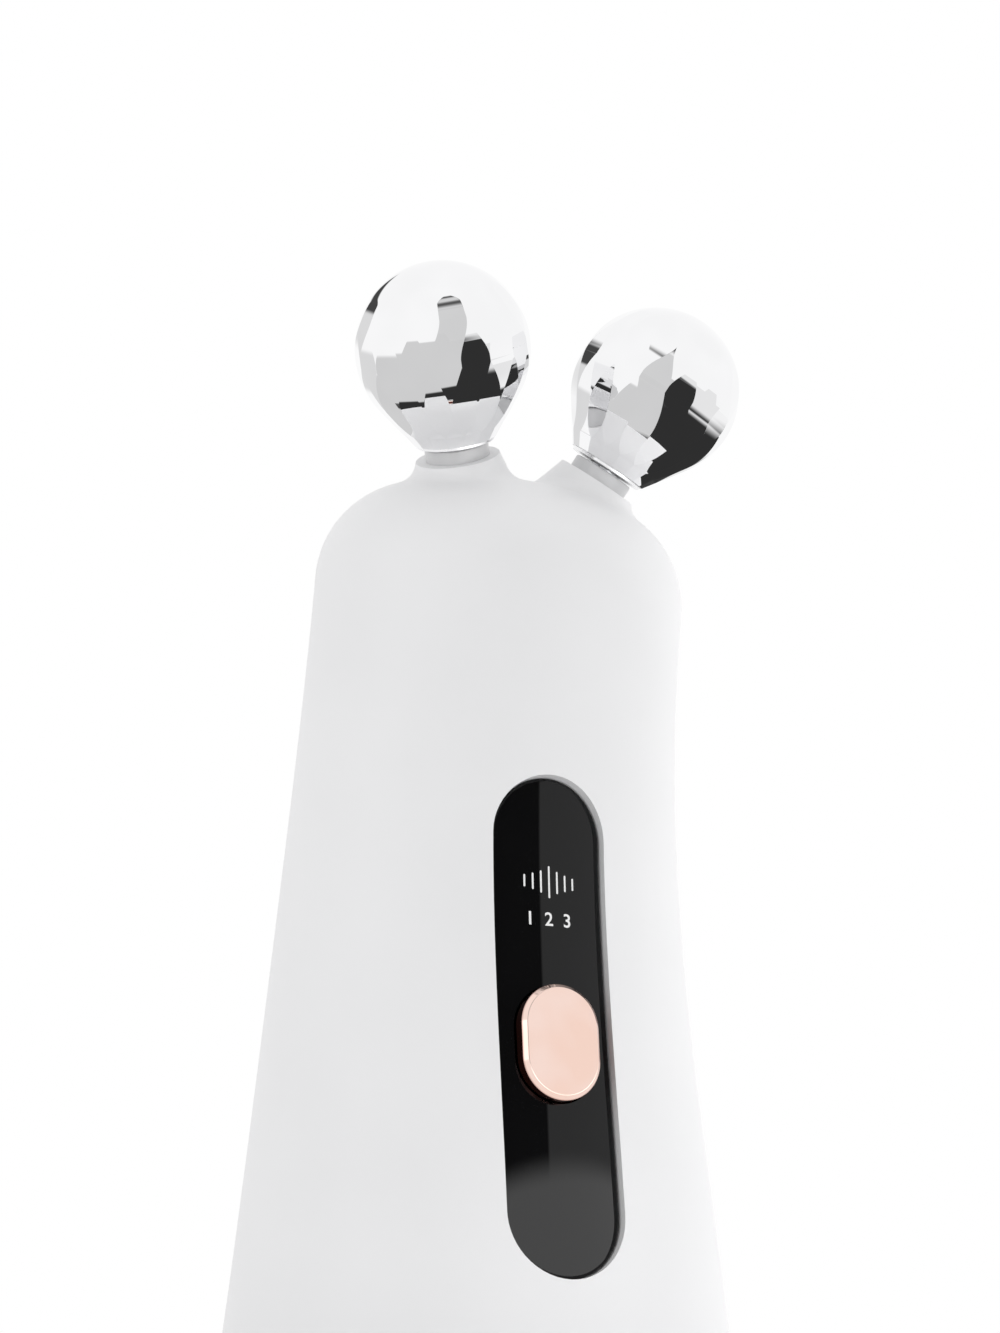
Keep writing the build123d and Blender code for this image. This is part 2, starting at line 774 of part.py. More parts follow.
def facet_cutter(row):
    """What one facet removes: everything outside a bow, a straight line, or a bow that runs on straight."""
    points = [facet_middle(latitude, width) for latitude, width in row]
    with BuildPart() as made:
        with BuildSketch(Plane.XZ):
            with BuildLine():
                start = Spline(*points[:3]) if len(points) > 2 else Line(*points)
                end = Line(start @ 1, points[3]) if len(points) > 3 else start
                run_up = Line(start @ 0, start @ 0 - (start % 0) * roller_radius)
                run_down = Line(end @ 1, end @ 1 + (end % 1) * roller_radius)
                Polyline(
                    run_up @ 1,
                    (2 * roller_radius, (run_up @ 1).Y),
                    (2 * roller_radius, (run_down @ 1).Y),
                    run_down @ 1,
                )
            make_face()
        extrude(amount=1.3 * roller_radius * tan(facet_half_angle), both=True)
    return made.part


with BuildPart() as ball_blank:
    with BuildSketch(Plane.XZ):
        with BuildLine():
            CenterArc((0, 0), roller_radius, tail_latitude, 90 - tail_latitude)
            Polyline(tail_start, (tail_radius, -tail_drop), (0, -tail_drop), (0, roller_radius))
        make_face()
    revolve(axis=Axis.Z)

# Rows of leaf-shaped facets, each half a pitch out of step with the one above, cut every second one
# first; the last row runs on down the tail
with BuildPart() as faceted_ball:
    add(ball_blank.part)
    for index, row in enumerate(facet_rows):
        cutter = facet_cutter(row)
        for steps in (0, 2):
            first_angle = ((index + 1) % 2 + steps) * degrees(facet_half_angle)
            with PolarLocations(0, facet_count // 2, start_angle=first_angle):
                add(cutter, mode=Mode.SUBTRACT)
    with BuildSketch(Plane.XY.offset(-tail_drop)):
        Circle(bush_radius + static_fit)
    extrude(amount=tail_drop - bore_top_drop, mode=Mode.SUBTRACT)


def turned_ring(plane, high, low, outer, inner=0.0):
    """Round piece on a neck plane between two distances down the axle."""
    with BuildPart() as made:
        with BuildSketch(plane.offset(-low)):
            Circle(outer)
            if inner:
                Circle(inner, mode=Mode.SUBTRACT)
        extrude(amount=low - high)
    return made.part


for side, name in ((-1, "left"), (1, "right")):
    neck = neck_plane(side)
    ball = faceted_ball.part.rotate(Axis.Z, facet_turns[side]).moved(neck.location)
    save(ball, f"{name}_roller_ball")
    base_radius = tail_radius - ball_base_margin
    save(
        turned_ring(neck, tail_drop, ball_base_drop, base_radius, axle_radius + moving_gap),
        f"{name}_ball_base",
    )
    save(
        turned_ring(neck, bush_top_drop, tail_drop, bush_radius, axle_radius + running_fit),
        f"{name}_roller_bush",
    )
    save(
        turned_ring(neck, seal_drop, flange_drop, neck_radius + seal_wall, neck_radius + static_fit),
        f"{name}_neck_seal",
    )
    with BuildPart() as collar:
        add(turned_ring(neck, neck_top_drop, sleeve_drop, neck_radius))
        add(turned_ring(neck, flange_drop, sleeve_drop, flange_radius))
        add(turned_ring(neck, neck_top_drop, sleeve_drop, axle_radius + static_fit), mode=Mode.SUBTRACT)
    save(collar.part, f"{name}_neck_collar")
    with BuildPart() as axle:
        add(turned_ring(neck, axle_top_drop, axle_end_drop, axle_radius))
        add(turned_ring(neck, sleeve_drop, sleeve_drop + axle_flange_thickness, axle_flange_radius))
        add(
            turned_ring(
                neck, clip_drop, clip_drop + clip_thickness, 2 * axle_radius, axle_radius - groove_depth
            ),
            mode=Mode.SUBTRACT,
        )
    save(axle.part, f"{name}_axle")
    with BuildPart() as clip:
        with BuildSketch(neck.offset(-clip_drop - clip_thickness)):
            Circle(clip_radius)
            Circle(axle_radius - groove_depth + static_fit, mode=Mode.SUBTRACT)
            with Locations((clip_radius, 0)):
                Rectangle(2 * clip_radius, axle_radius, mode=Mode.SUBTRACT)
        extrude(amount=clip_thickness)
    save(clip.part, f"{name}_axle_clip")
    with BuildPart() as contact:
        with BuildSketch(neck.offset(-nut_drop)):
            Circle(nut_radius + contact_thickness)
            with Locations((nut_radius + contact_thickness, 0)):
                Rectangle(nut_radius, nut_radius / 2)
            Circle(axle_radius + static_fit, mode=Mode.SUBTRACT)
        extrude(amount=contact_thickness)
    save(contact.part, f"{name}_contact_ring")
    with BuildPart() as nut:
        with BuildSketch(neck.offset(-nut_drop)):
            RegularPolygon(nut_radius, 6)
            Circle(axle_radius + static_fit, mode=Mode.SUBTRACT)
        extrude(amount=-nut_length)
    save(nut.part, f"{name}_axle_nut")


def lead(points, bend):
    """Insulated wire through the points, with round bends."""
    with BuildPart() as made:
        with BuildLine() as route:
            FilletPolyline(*points, radius=bend)
        with BuildSketch(Plane(origin=route.wire() @ 0, z_dir=route.wire() % 0)):
            Circle(lead_radius)
        sweep(path=route.wire())
    return made.part


def on_board(x, up, clear=0.0):
    """Point behind the main board's back face."""
    return board_back.offset(clear).from_local_coords(Vector(-x, up, 0))


def pair(routes, bend):
    """Two leads as one piece."""
    with BuildPart() as made:
        for points in routes:
            add(lead(points, bend))
    return made.part


cell_top = cell_bottom + cell_length
cell_y = cell_front + cell_thickness / 2
socket_x, socket_up = lead_socket
socket_top = on_board(socket_x, socket_up + lead_socket_size[1] / 2, chip_height)
battery_routes = []
charge_routes = []
for side in (-1, 1):
    entry = Vector(side * socket_x, socket_top.Y, socket_top.Z)
    above = entry + board_back.y_dir * (cell_top + lead_rise - entry.Z)
    battery_routes.append(
        [
            (side * lead_spread, cell_y, cell_top),
            (side * lead_spread, cell_y, cell_top + lead_rise),
            above,
            entry,
        ]
    )
    charge_routes.append(
        [
            (side * lead_spread, charge_post_y[1], charge_board_top),
            (side * lead_spread, charge_post_y[1], charge_board_top + lead_rise),
            on_board(side * socket_x, charge_pad_up, lead_rise),
            on_board(side * socket_x, charge_pad_up),
        ]
    )
save(pair(battery_routes, lead_bend), "battery_leads")
save(pair(charge_routes, lead_bend), "charge_leads")

for side, name in ((-1, "left"), (1, "right")):
    neck = neck_plane(side)
    tab = Vector(nut_radius + 3 * lead_radius, 0, -nut_drop)
    route = [
        neck.from_local_coords(tab),
        neck.from_local_coords(tab + Vector(0, 0, -lead_rise)),
        on_board(side * lead_spread, electrode_pad_up, lead_rise) + Vector(0, 0, 3 * lead_rise),
        on_board(side * lead_spread, electrode_pad_up, lead_rise),
        on_board(side * lead_spread, electrode_pad_up),
    ]
    save(lead(route, lead_bend), f"{name}_electrode_lead")
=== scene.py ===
import math

import bpy
import numpy as np
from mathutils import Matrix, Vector


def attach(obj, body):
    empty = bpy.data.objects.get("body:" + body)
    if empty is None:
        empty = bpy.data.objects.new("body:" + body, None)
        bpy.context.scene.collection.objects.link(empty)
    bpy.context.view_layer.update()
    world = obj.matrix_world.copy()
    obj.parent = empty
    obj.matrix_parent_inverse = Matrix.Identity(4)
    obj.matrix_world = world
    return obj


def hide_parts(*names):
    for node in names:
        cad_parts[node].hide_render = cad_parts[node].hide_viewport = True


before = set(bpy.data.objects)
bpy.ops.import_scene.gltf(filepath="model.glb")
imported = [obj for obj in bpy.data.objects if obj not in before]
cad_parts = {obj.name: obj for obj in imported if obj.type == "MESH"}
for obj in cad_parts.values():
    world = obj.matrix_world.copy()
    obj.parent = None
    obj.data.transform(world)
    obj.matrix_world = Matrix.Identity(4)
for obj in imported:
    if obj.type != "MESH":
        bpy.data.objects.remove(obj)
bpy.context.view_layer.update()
print("frame loaded,", len(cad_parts), "nodes")

millimetre = 0.001
tiny = 1e-9  # keeps a divisor away from nought
near = 1e-6  # lengths in mm that differ by less are the same
sides = {"left": -1, "right": 1}  # which way each side lies along x


def hexToLinear(code):
    # sRGB hex to linear: a short straight part near black, a 2.4 power above it
    channels = [int(code[i : i + 2], 16) / 255 for i in (1, 3, 5)]
    return [c / 12.92 if c < 0.04045 else ((c + 0.055) / 1.055) ** 2.4 for c in channels] + [1.0]


def addNode(tree, kind, settings=None, links=None):
    # settings: attribute or socket name to value; links: socket name to the output that feeds it
    node = tree.nodes.new(kind)
    for key, value in (settings or {}).items():
        if isinstance(key, str) and hasattr(node, key):
            setattr(node, key, value)
        else:
            node.inputs[key].default_value = value
    for key, output in (links or {}).items():
        tree.links.new(output, node.inputs[key])
    return node


def emptyTree(owner):
    owner.use_nodes = True
    owner.node_tree.nodes.clear()
    return owner.node_tree


def newMaterial(name, settings):
    material = bpy.data.materials.new(name)
    tree = emptyTree(material)
    shader = addNode(tree, "ShaderNodeBsdfPrincipled", settings)
    addNode(tree, "ShaderNodeOutputMaterial", links={"Surface": shader.outputs[0]})
    place = addNode(tree, "ShaderNodeTexCoord").outputs["Object"]
    return material, tree, shader, place


# ---- camera: low and to the left, looking up at the head
cameraView = {
    # angles in degrees, lens and sensor in mm, the rest in metres
    "azimuth": -24.2,
    "elevation": -18.38,
    "place": (-0.1055, -0.2409, 0.0024),
    "lens": 75.6,
    "sensorWidth": 36.0,
    "clip": (0.005, 20.0),
}


def placeCamera(view):
    azimuth, elevation = math.radians(view["azimuth"]), math.radians(view["elevation"])
    flat = math.cos(elevation)
    back = Vector((math.sin(azimuth) * flat, -math.cos(azimuth) * flat, math.sin(elevation)))
    data = bpy.data.cameras.new("studioCamera")
    data.sensor_fit = "HORIZONTAL"
    data.sensor_width = view["sensorWidth"]
    data.lens = view["lens"]
    data.clip_start, data.clip_end = view["clip"]
    camera = bpy.data.objects.new("studioCamera", data)
    camera.location = view["place"]
    camera.rotation_euler = (-back).to_track_quat("-Z", "Y").to_euler()
    bpy.context.collection.objects.link(camera)
    bpy.context.scene.camera = camera


placeCamera(cameraView)
bpy.context.scene.view_settings.view_transform = "Standard"
print("camera placed")


# ---- finishes
# most of a noise's values lie between these, so they are spread over the whole of what it drives
noiseRanges = {"grain": (0.3, 0.7), "drift": (0.35, 0.65)}


def addGrain(tree, shader, place, size, depth, rough):
    # grain of a real size in mm: the same noise lifts the surface and spreads the roughness
    noise = addNode(
        tree,
        "ShaderNodeTexNoise",
        {"Scale": 1 / (size * millimetre), "Detail": 3.0, "Roughness": 0.55},
        {"Vector": place},
    )
    low, high = noiseRanges["grain"]
    spread = addNode(
        tree,
        "ShaderNodeMapRange",
        {"From Min": low, "From Max": high, "To Min": rough[0], "To Max": rough[1]},
        {"Value": noise.outputs[0]},
    )
    tree.links.new(spread.outputs[0], shader.inputs["Roughness"])
    if depth:
        bump = addNode(
            tree,
            "ShaderNodeBump",
            {"Distance": depth * millimetre, "Strength": 1.0},
            {"Height": noise.outputs[0]},
        )
        tree.links.new(bump.outputs[0], shader.inputs["Normal"])


def addDrift(tree, shader, place, colours, size):
    # colour drifts softly between two near shades over a distance in mm
    noise = addNode(
        tree, "ShaderNodeTexNoise", {"Scale": 1 / (size * millimetre), "Detail": 1.0}, {"Vector": place}
    )
    ramp = addNode(tree, "ShaderNodeValToRGB", links={"Fac": noise.outputs[0]})
    for element, position, colour in zip(ramp.color_ramp.elements, noiseRanges["drift"], colours):
        element.position = position
        element.color = hexToLinear(colour)
    tree.links.new(ramp.outputs[0], shader.inputs["Base Color"])


def surfaceFinish(name, colours, drift, grain, depth, rough, settings):
    material, tree, shader, place = newMaterial(name, settings)
    addDrift(tree, shader, place, colours, drift)
    addGrain(tree, shader, place, grain, depth, rough)
    return material


plastic = {"IOR": 1.53}
softPlastic = {"IOR": 1.46}
metal = {"Metallic": 1.0}
rubber = {"IOR": 1.41}

# name: (two shades, drift mm, grain mm, depth mm, roughness from and to, shader settings)
finishes = {
    # injection moulded ABS from a spark-eroded tool: an even satin with a grain that is only just felt
    "satinAbsWhite": (("#EFEFF0", "#F1F1F2"), 18, 0.22, 0.0016, (0.38, 0.47), plastic),
    # the same resin on the back half, moulded in its own tool
    "satinAbsWhiteRear": (("#EEEEEF", "#F1F1F2"), 22, 0.22, 0.0016, (0.39, 0.48), plastic),
    # the end cap's own shot of that resin, a shade greyer
    "satinAbsCap": (("#ECECED", "#EFEFF0"), 16, 0.25, 0.002, (0.40, 0.50), plastic),
    # pale grey ABS sleeve, turned smooth in its tool
    "satinAbsGrey": (("#D3D3D4", "#D8D8D9"), 4, 0.12, 0.0008, (0.30, 0.38), plastic),
    # bright nickel-chrome plate over a polished blank: a mirror without haze
    "mirrorChrome": (("#F4F4F5", "#F7F7F8"), 6, 1.4, 0, (0.0002, 0.0006), metal),
    # satin nickel plate over a blasted blank: bright, but it mirrors no shapes
    "satinNickelBase": (("#F1F1F2", "#F5F5F6"), 3, 0.8, 0, (0.24, 0.32), metal),
    # piano-black acrylic window, painted behind, with a low-index hard coat in front
    "pianoBlackAcrylic": (("#040405", "#070708"), 14, 2.5, 0, (0.012, 0.03), {"IOR": 1.36}),
    # screen-printed ink: matt and a little uneven
    "inkWhite": (("#F2F2F2", "#FAFAFA"), 2, 0.05, 0.0006, (0.45, 0.6), softPlastic),
    # rose-gold plate: polished, then lacquered, so it is bright with a faint soft haze; further down, a
    # painted shade darkens its colour on the key's bevel and wall
    "roseGoldPlateWithPaintedWallShade": (("#F4D4C6", "#F6DBD0"), 5, 0.9, 0, (0.05, 0.10), metal),
    # matt silicone foot, cast against a blasted mould
    "mattSilicone": (("#CBCBCC", "#D2D2D3"), 9, 0.3, 0.012, (0.62, 0.78), rubber),
    # black foam tape: dull, with the cells open along its cut edge
    "adhesiveFoam": (("#131313", "#1C1C1C"), 3, 0.2, 0.02, (0.8, 0.95), rubber),
    # black acetal as it left the tool: a dull sheen
    "mouldedBlack": (("#1D1D1E", "#242425"), 5, 0.2, 0.003, (0.4, 0.55), plastic),
    # nylon switch housing: finer and a little glossier
    "switchBlack": (("#191919", "#1F1F20"), 4, 0.15, 0.002, (0.35, 0.5), plastic),
    # glass-cloth board under green solder mask: the cloth's 0.5 mm weave shows through faintly
    "solderMaskGreen": (("#0E4A26", "#135A30"), 1.2, 0.5, 0.006, (0.22, 0.4), plastic),
    # the same mask on the small inlet board
    "solderMaskInlet": (("#0D4725", "#12552E"), 1.2, 0.5, 0.006, (0.22, 0.4), plastic),
    # epoxy moulded round the chips: dull black
    "mouldedEpoxy": (("#121213", "#1B1B1C"), 1.5, 0.12, 0.003, (0.5, 0.65), plastic),
    # pressed and fired ferrite: dark grey and grainy
    "sinteredFerrite": (("#2E2E31", "#3A3A3D"), 1.5, 0.2, 0.008, (0.45, 0.65), plastic),
    # cast resin over the diodes: pale and glossy
    "clearLedResin": (("#EDEDE2", "#F7F7F0"), 1, 0.4, 0.001, (0.12, 0.2), softPlastic),
    # opal polycarbonate: milky, with a soft gloss
    "milkyDiffuser": (("#EFEFEA", "#F5F5F1"), 4, 0.3, 0.002, (0.35, 0.45), softPlastic),
    # aluminium laminate, drawn and sealed: silvery, with soft wrinkles
    "foilPouch": (("#BFC1C5", "#CDCFD3"), 5, 0.7, 0.02, (0.22, 0.38), metal),
    # foam cut from a sheet: open cells and no gloss
    "openFoam": (("#232323", "#2E2E2E"), 2, 0.35, 0.05, (0.85, 0.97), rubber),
    # undyed ABS, left as it came out of a plain tool
    "naturalAbsTray": (("#D6D6D4", "#DCDCDA"), 8, 0.3, 0.003, (0.42, 0.55), plastic),
    # stamped and tin-plated steel: fine rolling marks
    "stampedSteel": (("#B4B5B8", "#C2C3C6"), 1.5, 0.12, 0.001, (0.18, 0.32), metal),
    # nylon moulded with glass fibre, which roughens its skin
    "glassFilledNylon": (("#2F2F31", "#39393B"), 2, 0.25, 0.01, (0.5, 0.68), plastic),
    # cold-headed steel under zinc: pale, with a slight haze
    "zincPlatedScrew": (("#A9ABAE", "#B8BABD"), 1, 0.2, 0.002, (0.2, 0.35), metal),
    # pressed bronze powder: warm and finely pitted
    "sinteredBronze": (("#B58A45", "#C59A55"), 1, 0.15, 0.006, (0.3, 0.45), metal),
    # steel ground between wheels: bright, with fine marks
    "groundSteel": (("#B6B7B9", "#C4C5C7"), 1, 0.1, 0.0008, (0.1, 0.2), metal),
    # oil-tempered spring steel: darker and less bright
    "springSteel": (("#7C7D81", "#8A8B8F"), 1, 0.15, 0.001, (0.25, 0.38), metal),
    # moulded silicone: soft grey and dull
    "siliconeSeal": (("#B0B0B0", "#B8B8B8"), 3, 0.2, 0.004, (0.5, 0.65), rubber),
    # stamped brass with a thin flash of gold: yellow and clean
    "goldFlashedBrass": (("#D9B467", "#E3C078"), 1, 0.15, 0.001, (0.15, 0.28), metal),
    # turned steel under zinc: the turning marks dull it a little
    "zincPlatedNut": (("#A6A8AB", "#B5B7BA"), 1, 0.2, 0.002, (0.22, 0.36), metal),
    # extruded silicone sleeve: smooth, dull red
    "redSiliconeSleeve": (("#941512", "#A81B17"), 2, 0.2, 0.003, (0.4, 0.55), rubber),
}
materials = {name: surfaceFinish(name, *values) for name, values in finishes.items()}

# which finish each carried-over node wears
nodeFinish = {
    "front_housing": "satinAbsWhite",
    "rear_cover": "satinAbsWhiteRear",
    "base_cap": "satinAbsCap",
    "foot_pad": "mattSilicone",
    "panel_gasket": "adhesiveFoam",
    "switch_plunger": "mouldedBlack",
    "tact_switch": "switchBlack",
    "main_board": "solderMaskGreen",
    "board_screws": "zincPlatedScrew",
    "indicator_leds": "clearLedResin",
    "light_guide": "milkyDiffuser",
    "boost_coil": "sinteredFerrite",
    "board_components": "mouldedEpoxy",
    "battery_cell": "foilPouch",
    "battery_pad": "openFoam",
    "battery_tray": "naturalAbsTray",
    "charge_board": "solderMaskInlet",
    "usb_socket": "stampedSteel",
    "cap_screws": "zincPlatedScrew",
    "roller_bracket": "glassFilledNylon",
    "bracket_screws": "zincPlatedScrew",
    "battery_leads": "redSiliconeSleeve",
    "charge_leads": "redSiliconeSleeve",
}
for name in sides:
    nodeFinish[name + "_roller_bush"] = "sinteredBronze"
    nodeFinish[name + "_neck_seal"] = "siliconeSeal"
    nodeFinish[name + "_axle"] = "groundSteel"
    nodeFinish[name + "_axle_clip"] = "springSteel"
    nodeFinish[name + "_contact_ring"] = "goldFlashedBrass"
    nodeFinish[name + "_axle_nut"] = "zincPlatedNut"
    nodeFinish[name + "_electrode_lead"] = "redSiliconeSleeve"
for node, finish in nodeFinish.items():
    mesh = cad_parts[node].data
    mesh.materials.clear()
    mesh.materials.append(materials[finish])
print("finishes made,", len(materials))


# ---- surfaces on a grid of levels by angles
def gridMesh(name, points, normals, finish, body, replaced):
    # neighbours on the grid are joined by two triangles, the last angle joins the first, corners that
    # meet to 0.0001 mm become one point, and each corner keeps the normal that its formula gave
    levels, around = points.shape[:2]
    i, j = np.meshgrid(np.arange(levels - 1), np.arange(around), indexing="ij")
    k = (j + 1) % around
    a, b, c, d = i * around + j, (i + 1) * around + j, (i + 1) * around + k, i * around + k
    corners = np.stack([[a, a], [b, c], [c, d]], -1).reshape(-1, 3)
    spots, index = np.unique(np.round(points.reshape(-1, 3), 4), axis=0, return_inverse=True)
    faces = index.reshape(-1)[corners]
    keep = (faces[:, 0] != faces[:, 1]) & (faces[:, 1] != faces[:, 2]) & (faces[:, 0] != faces[:, 2])
    mesh = bpy.data.meshes.new(name)
    mesh.from_pydata((spots * millimetre).tolist(), [], faces[keep].tolist())
    mesh.polygons.foreach_set("use_smooth", np.ones(int(keep.sum()), bool))
    mesh.normals_split_custom_set(normals.reshape(-1, 3)[corners[keep]].reshape(-1, 3).tolist())
    mesh.materials.append(materials[finish])
    placePiece(name, mesh, body, replaced)


def placePiece(name, mesh, body, replaced):
    piece = bpy.data.objects.new(name, mesh)
    bpy.context.collection.objects.link(piece)
    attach(piece, body)
    if replaced:
        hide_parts(replaced)


# how far each neck leans outwards and forwards in degrees, and where the balls' centres lie in mm
neck = {"splay": 21.6, "tilt": 33.2, "spacing": 30.0, "forward": 22.1, "height": 122.8}


def neckFrame(side, neck):
    # gives a neck's three directions as rows, the last one outwards along its axle, and its ball's centre
    splay, tilt = math.radians(neck["splay"]), math.radians(neck["tilt"])
    out = (side * math.sin(splay), -math.cos(splay) * math.sin(tilt), math.cos(splay) * math.cos(tilt))
    across = np.cross((0, 0, 1), out) * side
    across /= np.linalg.norm(across)
    centre = np.array([side * neck["spacing"] / 2, -neck["forward"], neck["height"]])
    return np.array([across, np.cross(out, across), out]), centre


# ---- roller balls: smooth cap, then four staggered rows of leaf-shaped sides
rollerBall = {
    "radius": 11.0,
    "sidesInRow": 18,
    # latitudes from where to where each row opens
    "opens": ((47, 40), (29, 3), (-2, -33), (-36, -56)),
    # how the later rows open: the even part of the second and the third, and the power of the last
    "evenParts": (0.35, 0.3),
    "lastPower": 3,
    "tailLatitude": -35,
    "tailDrop": 11.44,
    "boreRadius": 3.25,
    "boreDrop": 2.14,
    "edgeWidth": 0.05,
    # how far each ball is turned about its axle at rest, in degrees
    "turns": {"left": 12.5, "right": 20.5},
    # mesh: levels on the cap, on the rows and at least between two marks, and points across a round gap
    "capLevels": 24,
    "rowLevels": 170,
    "fewestLevels": 4,
    "gapPoints": 4,
}


def sideWidths(latitude, b):
    # Share of the full width that the two sets of sides have at each latitude. The first row opens like
    # an arch on the bare cap; each later row opens as the row above it closes: along a soft wave, then
    # with a full belly, then late and fast on the tail.
    way = [np.clip((top - latitude) / (top - low), 0, 1) for top, low in b["opens"]]
    waveEven, bellyEven = b["evenParts"]
    arch = np.sin(math.pi / 2 * way[0])
    wave = waveEven * way[1] + (1 - waveEven) * (1 - np.cos(math.pi * way[1])) / 2
    belly = bellyEven * way[2] + (1 - bellyEven) * np.sin(math.pi / 2 * way[2])
    late = way[3] ** b["lastPower"]
    return arch - wave + belly - late, wave - belly + late


def ballGrid(b):
    # At each height the section is a ring of straight sides, two staggered sets of them, whose corners
    # lie on the round outline: a side's distance from the axis is the outline's reach times the cosine
    # of half the angle that it spans. Two sides meet where distance / cosine of the angle from each
    # side's middle is the same.
    radius, half = b["radius"], math.pi / b["sidesInRow"]
    tailAngle = math.radians(b["tailLatitude"])
    tail = radius * np.array([math.cos(tailAngle), math.sin(tailAngle)])
    slope = math.tan(-tailAngle)
    lean = np.tan(np.radians(np.array(b["opens"]).reshape(-1)))
    onCone = lean * (tail[0] - tail[1] * slope) / (1 - lean * slope)
    onRound = radius * np.sin(np.arctan(lean))
    marks = [*np.where(lean < math.tan(tailAngle), onCone, onRound), -b["tailDrop"]]
    cap = np.linspace(math.pi / 2, np.arctan(lean[0]), b["capLevels"], endpoint=False)
    heights = [radius * np.sin(cap)]
    for top, low in zip(marks, marks[1:]):
        count = max(b["fewestLevels"], round(b["rowLevels"] * (top - low) / (marks[0] - marks[-1])))
        heights.append(np.linspace(top, low, count, endpoint=False))
    z = np.concatenate(heights + [[marks[-1]]])
    onTail = z < tail[1]
    outline = np.where(onTail, tail[0] + (z - tail[1]) * slope, np.sqrt(np.maximum(radius**2 - z**2, 0)))
    rise = np.where(onTail, slope, -z / np.maximum(outline, tiny))
    spans = [half * width for width in sideWidths(np.degrees(np.arctan2(z, outline)), b)]
    distance = [outline * np.cos(span) for span in spans]
    slant = [rise * np.cos(span) - outline * np.sin(span) * np.gradient(span, z) for span in spans]
    d0, d1 = distance
    meet = np.arctan2(d1 - d0 * math.cos(half), d0 * math.sin(half))
    clip = [np.arccos(np.clip(d / np.maximum(outline, tiny), -1, 1)) for d in distance]
    h0 = np.minimum(np.clip(meet, 0, half), clip[0])
    h1 = np.minimum(np.clip(half - meet, 0, half), clip[1])
    # each edge is eased over its width, as an angle; near the pole that angle grows no more
    ease = b["edgeWidth"] / 2 / np.maximum(outline, 1.0)
    middle = (h0 + half - h1) / 2
    arcFrom = np.minimum(h0 + ease, middle)
    arcTo = np.maximum(half - h1 - ease, middle)
    gap = np.clip((arcTo - arcFrom) / (2 * ease), 0, 1)
    h0, h1 = np.maximum(h0 - ease, 0), np.maximum(h1 - ease, 0)
    # one period: first side, arc, second side, arc back
    count = b["gapPoints"]
    arc = arcFrom[:, None] + (arcTo - arcFrom)[:, None] * np.linspace(0, 1, count)
    first, second = h0[:, None], h1[:, None]
    angles = np.hstack([-first, first, arc, half - second, half + second, 2 * half - arc[:, ::-1]])
    r0 = (d0 / np.cos(h0))[:, None]
    r1 = (d1 / np.cos(h1))[:, None]
    onChord = r0 + (r1 - r0) * (arc - first) / np.maximum(half - h1 - h0, tiny)[:, None]
    arcRadius = onChord + (outline[:, None] - onChord) * gap[:, None]
    radii = np.hstack([r0, r0, arcRadius, r1, r1, arcRadius[:, ::-1]])
    steep0, steep1, steepArc = slant[0][:, None], slant[1][:, None], [rise[:, None]] * count
    steep = np.hstack([steep0, steep0, *steepArc, steep1, steep1, *steepArc])
    facing0, facing1 = np.zeros((len(z), 2)), np.full((len(z), 2), half)
    facing = np.hstack([facing0, arc, facing1, 2 * half - arc[:, ::-1]])
    turns = 2 * half * np.arange(b["sidesInRow"])
    angles = (angles[:, None, :] + turns[None, :, None]).reshape(len(z), -1)
    facing = (facing[:, None, :] + turns[None, :, None]).reshape(len(z), -1)
    radii = np.tile(radii, b["sidesInRow"])
    steep = np.tile(steep, b["sidesInRow"])
    level = np.broadcast_to(z[:, None], radii.shape)
    points = np.dstack([radii * np.cos(angles), radii * np.sin(angles), level])
    normals = np.dstack([np.cos(facing), np.sin(facing), -steep])
    normals[np.broadcast_to((outline < near)[:, None], radii.shape)] = (0, 0, 1)
    # mouth and bore: flat base, straight wall, flat end
    ring = np.dstack([np.cos(angles[-1:]), np.sin(angles[-1:]), 0 * angles[-1:]])
    down = np.zeros_like(ring) - (0, 0, 1)
    bore = b["boreRadius"] * ring
    mouth = np.array((0, 0, -b["tailDrop"]))
    end = np.array((0, 0, -b["boreDrop"]))
    inside = [bore + mouth, bore + mouth, bore + end, bore + end, 0 * ring + end]
    points = np.concatenate([points, points[-1:], *inside])
    normals = np.concatenate([normals, down, down, -ring, -ring, down, down])
    return points, normals / np.linalg.norm(normals, axis=2, keepdims=True)


ballPoints, ballNormals = ballGrid(rollerBall)
for name, side in sides.items():
    axes, centre = neckFrame(side, neck)
    turn = math.radians(rollerBall["turns"][name])
    cosine, sine = math.cos(turn), math.sin(turn)
    spin = np.array([[cosine, sine, 0], [-sine, cosine, 0], [0, 0, 1]])
    gridMesh(
        name + "FacetedBall",
        ballPoints @ spin @ axes + centre,
        ballNormals @ spin @ axes,
        "mirrorChrome",
        name + "_roller",
        name + "_roller_ball",
    )
print("roller balls made")


# ---- pill-shaped and round pieces: a profile carried round an outline
def outlineRun(arcSteps, sideSteps):
    # direction angle, and share of the straight side from -1 at its lower end to 1 at its upper end
    up = np.linspace(-1, 1, sideSteps, endpoint=False)
    half = np.linspace(0, math.pi, arcSteps + 1)[:-1]
    angle = np.concatenate([0 * up, half, 0 * up + math.pi, half + math.pi])
    share = np.concatenate([up, 0 * half + 1, -up, 0 * half - 1])
    return angle, share


